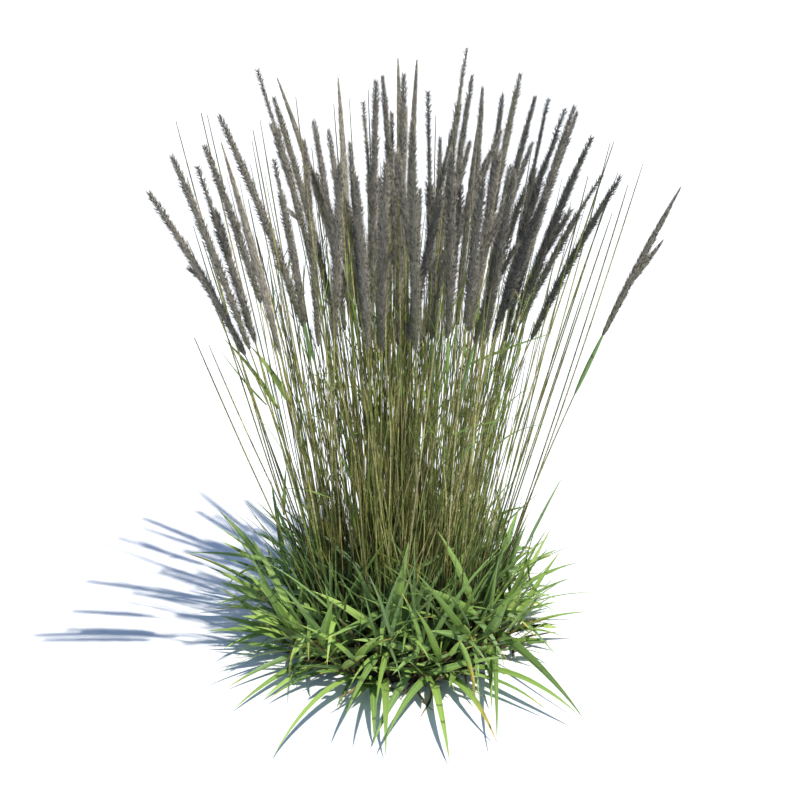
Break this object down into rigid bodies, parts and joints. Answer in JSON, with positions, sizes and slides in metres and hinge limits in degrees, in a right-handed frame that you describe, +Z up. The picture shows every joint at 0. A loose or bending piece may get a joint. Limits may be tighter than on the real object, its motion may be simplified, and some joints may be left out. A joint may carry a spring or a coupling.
{
  "type": "ornamental grass tussock",
  "caption": "Free-standing tussock of tall ornamental grass: spreading leaf blades round a flat-cut crown, fanned culms, dense spike-like plumes.",
  "frame": {"origin": "middle of the crown's flat-cut underside, on the ground", "axes": "+Z up along the clump's middle, -Y towards the pictured front, +X to the right as seen from the front"},
  "size_m": [0.8105, 0.764, 0.9539],
  "materials": {
    "culm": "dry, satin, olive to straw",
    "leaf": "satin, ribbed along the blade",
    "plume": "matt, bristly"
  },
  "bodies": {
    "root": {"crown_and_culms": "culm", "leaf_spray_1": "leaf", "leaf_spray_2": "leaf", "leaf_spray_3": "leaf", "leaf_spray_4": "leaf", "leaf_spray_5": "leaf", "leaf_spray_6": "leaf", "leaf_spray_7": "leaf", "leaf_spray_8": "leaf", "plume_01": "plume", "plume_02": "plume", "plume_03": "plume", "plume_04": "plume", "plume_05": "plume", "plume_06": "plume", "plume_07": "plume", "plume_08": "plume", "plume_09": "plume", "plume_10": "plume", "plume_11": "plume", "plume_12": "plume", "plume_13": "plume", "plume_14": "plume", "plume_15": "plume", "plume_16": "plume", "plume_17": "plume", "plume_18": "plume", "plume_19": "plume", "plume_20": "plume", "plume_21": "plume", "plume_22": "plume", "plume_23": "plume", "plume_24": "plume", "plume_25": "plume", "plume_26": "plume", "plume_27": "plume", "plume_28": "plume", "plume_29": "plume", "plume_30": "plume", "plume_31": "plume", "plume_32": "plume", "plume_33": "plume", "plume_34": "plume", "plume_35": "plume", "plume_36": "plume", "plume_37": "plume", "plume_38": "plume", "plume_39": "plume", "plume_40": "plume", "plume_41": "plume", "plume_42": "plume", "plume_43": "plume", "plume_44": "plume", "plume_45": "plume", "plume_46": "plume", "plume_47": "plume", "plume_48": "plume", "plume_49": "plume", "plume_50": "plume", "plume_51": "plume"}
  },
  "joints": []
}
